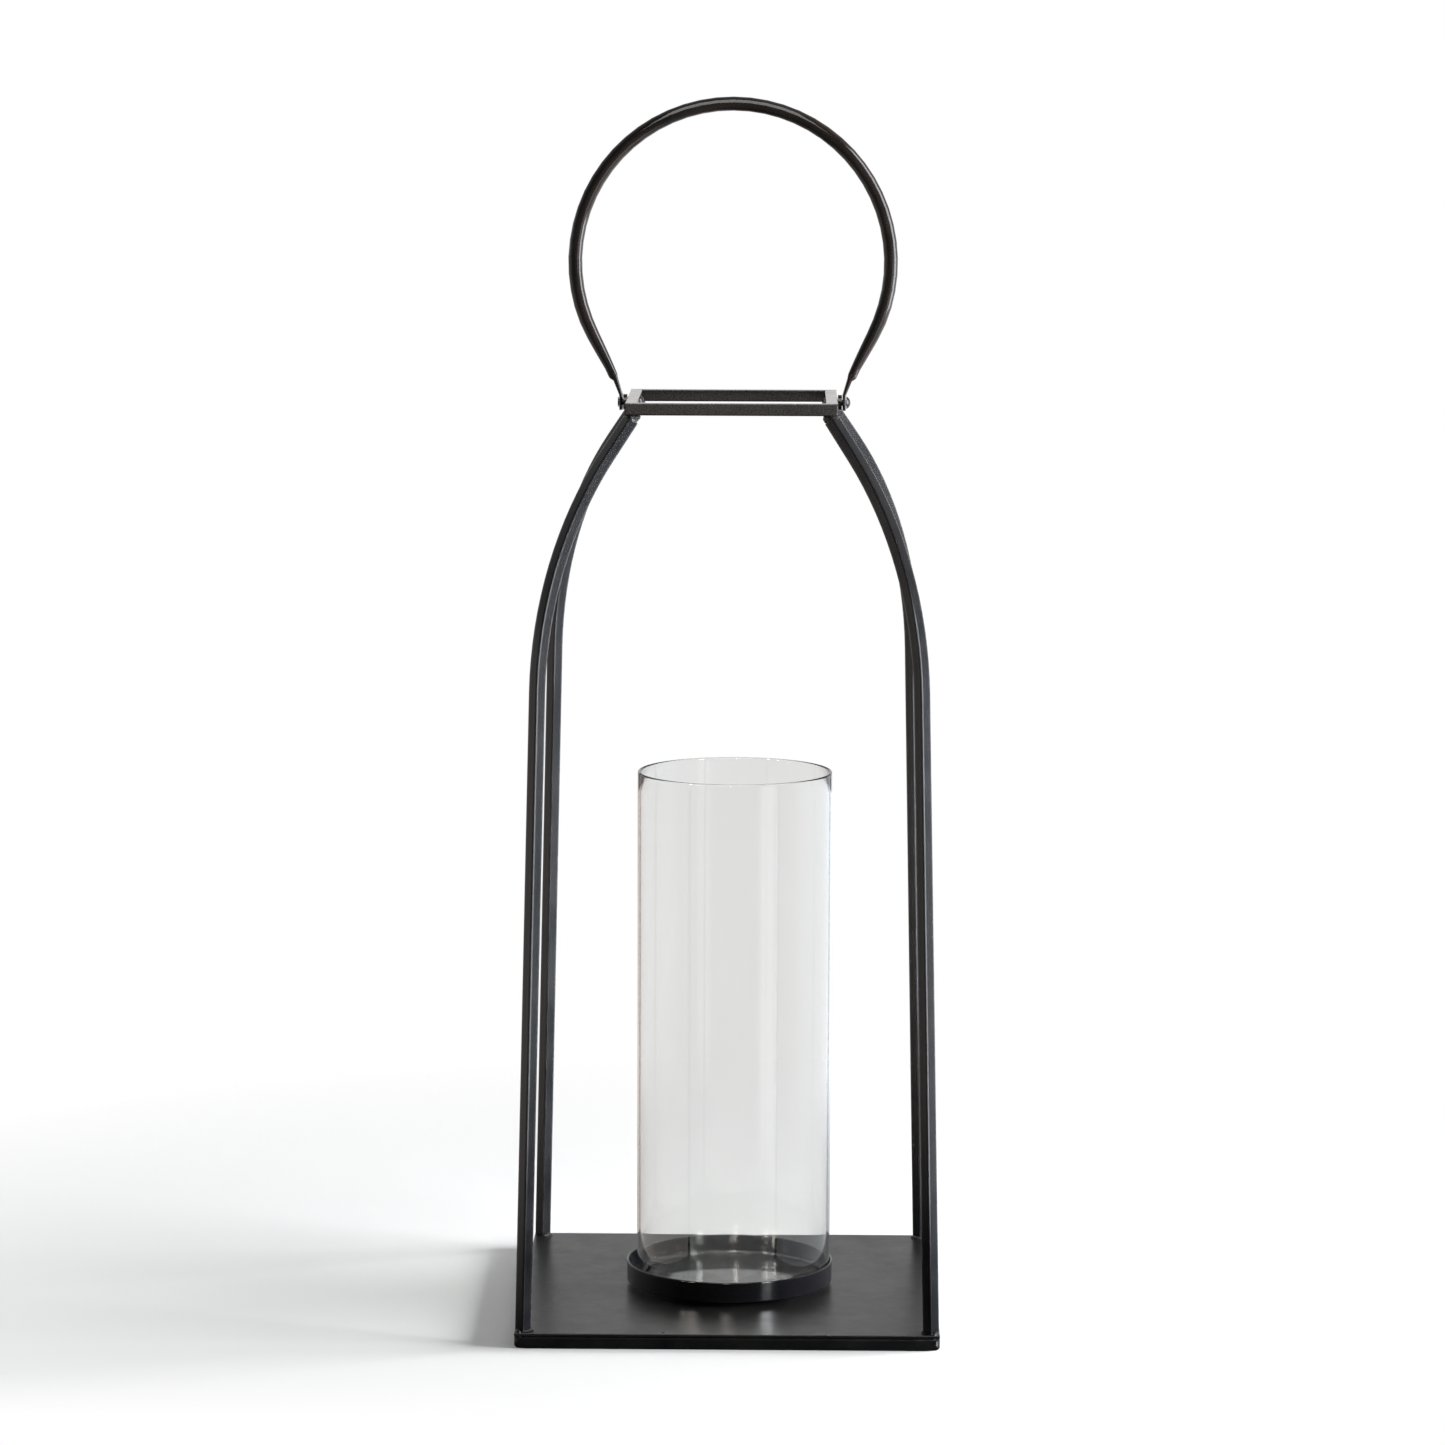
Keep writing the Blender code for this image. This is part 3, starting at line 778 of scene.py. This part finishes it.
def make_floor():
    shape = bmesh.new()
    bmesh.ops.create_grid(shape, x_segments=1, y_segments=1, size=FLOOR_HALF)
    mesh = mesh_of(shape, "studio_floor")
    mesh.materials.append(floor_material())
    floor = bpy.data.objects.new("studio_floor", mesh)
    bpy.context.scene.collection.objects.link(floor)
    floor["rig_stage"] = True


def soft_box(name, azimuth, distance, heights, width, radiance, colour, use="glossy"):
    """An upright panel that faces the lantern, between two heights.

    Azimuth 0 is the camera's side and 90 the right. A panel lights either what is painted, by
    reflection only, or the floor, and never shows to the camera.
    """
    low, high = heights
    light = bpy.data.lights.new(name, "AREA")
    light.shape = "RECTANGLE"
    light.size = width
    light.size_y = high - low
    light.energy = radiance * math.pi * width * (high - low)
    light.color = colour
    lamp = bpy.data.objects.new(name, light)
    angle = math.radians(azimuth)
    lamp.location = (distance * math.sin(angle), -distance * math.cos(angle), (low + high) / 2)
    lamp.rotation_euler = (math.pi / 2, 0, angle)
    lamp.visible_camera = False
    lamp.visible_transmission = use == "glossy"
    lamp.visible_glossy = use == "glossy"
    lamp.visible_diffuse = use == "diffuse"
    bpy.context.scene.collection.objects.link(lamp)
    return lamp


def lights_only(lamp, *wanted):
    """Links the lamp to the pieces whose names hold one of the wanted words."""
    lit = bpy.data.collections.new(lamp.name + "_lights")
    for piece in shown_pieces():
        if any(word in piece.name for word in wanted):
            lit.objects.link(piece)
    lamp.light_linking.receiver_collection = lit


def make_world():
    """A white cove behind the lantern and a dimmer, slightly warm room on the camera's side.

    Reflections see the room, which dims with height. The camera sees plain white, and painted
    surfaces get an even fill.
    """
    world = bpy.data.worlds.new("studio")
    bpy.context.scene.world = world
    n = Nodes(world, "Background", "World Output", "Generated")
    path = n.add("ShaderNodeLightPath").outputs
    place = n.add("ShaderNodeSeparateXYZ")
    n.link(n.position, place.inputs["Vector"])
    to_the_back = n.remap(place.outputs["Y"], -1.0, 1.0, 0.0, 1.0)
    room = n.ramp(
        to_the_back,
        ((0.20, (0.22, 0.20, 0.185)), (0.45, (0.50, 0.50, 0.52)), (0.66, (1.0, 1.0, 1.0))),
        "EASE",
    )
    through = path["Is Transmission Ray"]
    n.link(n.blend(through, room, COVE_THROUGH_GLASS), n.shader.inputs["Color"])
    level = n.ramp(
        place.outputs["Z"],
        ((0.03, (1.0, 1.0, 1.0)), (0.12, (0.85, 0.85, 0.85)), (0.26, (0.46, 0.46, 0.46))),
    )
    n.link(n.math("MAXIMUM", through, level), n.shader.inputs["Strength"])
    white = n.add("ShaderNodeBackground")
    white.inputs["Color"].default_value = WHITE
    fill = n.add("ShaderNodeBackground")
    fill.inputs["Color"].default_value = WHITE
    fill.inputs["Strength"].default_value = WORLD_FILL
    mirrored_or_fill = n.blend_shaders(
        path["Is Diffuse Ray"], n.shader.outputs["Background"], fill.outputs["Background"]
    )
    surface = n.blend_shaders(
        n.seen_directly(path), mirrored_or_fill, white.outputs["Background"]
    )
    n.link(surface, n.output.inputs["Surface"])


def make_tray_lamps():
    """Windows and lamps on the camera's side, seen only in the tray, the glass and the plate."""
    window = {"azimuth": 43, "distance": 2.6, "heights": (0.37, 0.85), "width": 0.45}
    lamps = (
        soft_box("window_high", **window, radiance=110, colour=DAYLIGHT),
        soft_box("lamp_left", -41, 2.6, (0.37, 0.85), width=0.30, radiance=50, colour=WARM),
        soft_box("lamp_far_left", -53, 2.6, (0.37, 0.85), width=0.20, radiance=70, colour=WARM),
        soft_box("lamp_middle", -3, 3.1, (0.45, 1.00), width=0.34, radiance=34, colour=WARM),
    )
    for lamp in lamps:
        lights_only(lamp, "tray", "glass")
    lights_only(soft_box("window_on_plate", **window, radiance=16, colour=DAYLIGHT), "plate")


def make_overhead():
    """A large soft box over the camera's side, tilted towards the lantern's top."""
    lamp = soft_box("overhead", 0, 0.0, (0.0, 1.2), width=1.2, radiance=4, colour=(1.0, 0.98, 0.95))
    lamp.location = (0.0, -1.0, 1.6)
    lamp.rotation_euler = (math.atan2(1.0, 1.5), 0.0, 0.0)
    lights_only(lamp, "plate", "top", "tray", "handle", "rivet", "glass")


def make_lights():
    soft_box(
        "floor_key", 90, 2.4, (0.0, 0.95), width=2.0, radiance=62, colour=(0.98, 0.99, 1.0),
        use="diffuse",
    )
    make_tray_lamps()
    make_overhead()
    panel = soft_box("panel_right", 77, 1.5, (0.02, 1.9), width=0.9, radiance=9, colour=COOL)
    lights_only(panel, "handle", "rivet")
    glow = soft_box("backdrop_glow", 180, 2.0, (0.70, 1.25), width=2.2, radiance=0.8, colour=WARM)
    lights_only(glow, "top_rail")
    edges = soft_box("edge_strip", 35, 0.5, (0.0, 0.50), width=0.26, radiance=13, colour=COOL)
    lights_only(edges, "leg", "rail", "weld", "mitre")
    wash = soft_box("rail_wash", 0, 0.9, (0.34, 0.47), width=0.9, radiance=0.9, colour=WARM)
    lights_only(wash, "top_rail")


def make_camera():
    camera_data = bpy.data.cameras.new("camera")
    camera_data.lens = CAMERA_LENS
    camera_data.sensor_width = SENSOR_WIDTH
    camera = bpy.data.objects.new("camera", camera_data)
    camera.location = (
        CAMERA_DISTANCE * math.sin(CAMERA_YAW),
        -CAMERA_DISTANCE * math.cos(CAMERA_YAW),
        CAMERA_HEIGHT,
    )
    aim = Matrix.Rotation(CAMERA_TURN, 3, "Z") @ Matrix.Rotation(math.pi / 2 - CAMERA_PITCH, 3, "X")
    camera.rotation_euler = (aim @ Matrix.Rotation(CAMERA_ROLL, 3, "Z")).to_euler()
    bpy.context.scene.collection.objects.link(camera)
    bpy.context.scene.camera = camera


make_floor()
make_world()
make_lights()
make_camera()
bpy.context.scene.view_settings.view_transform = "Standard"
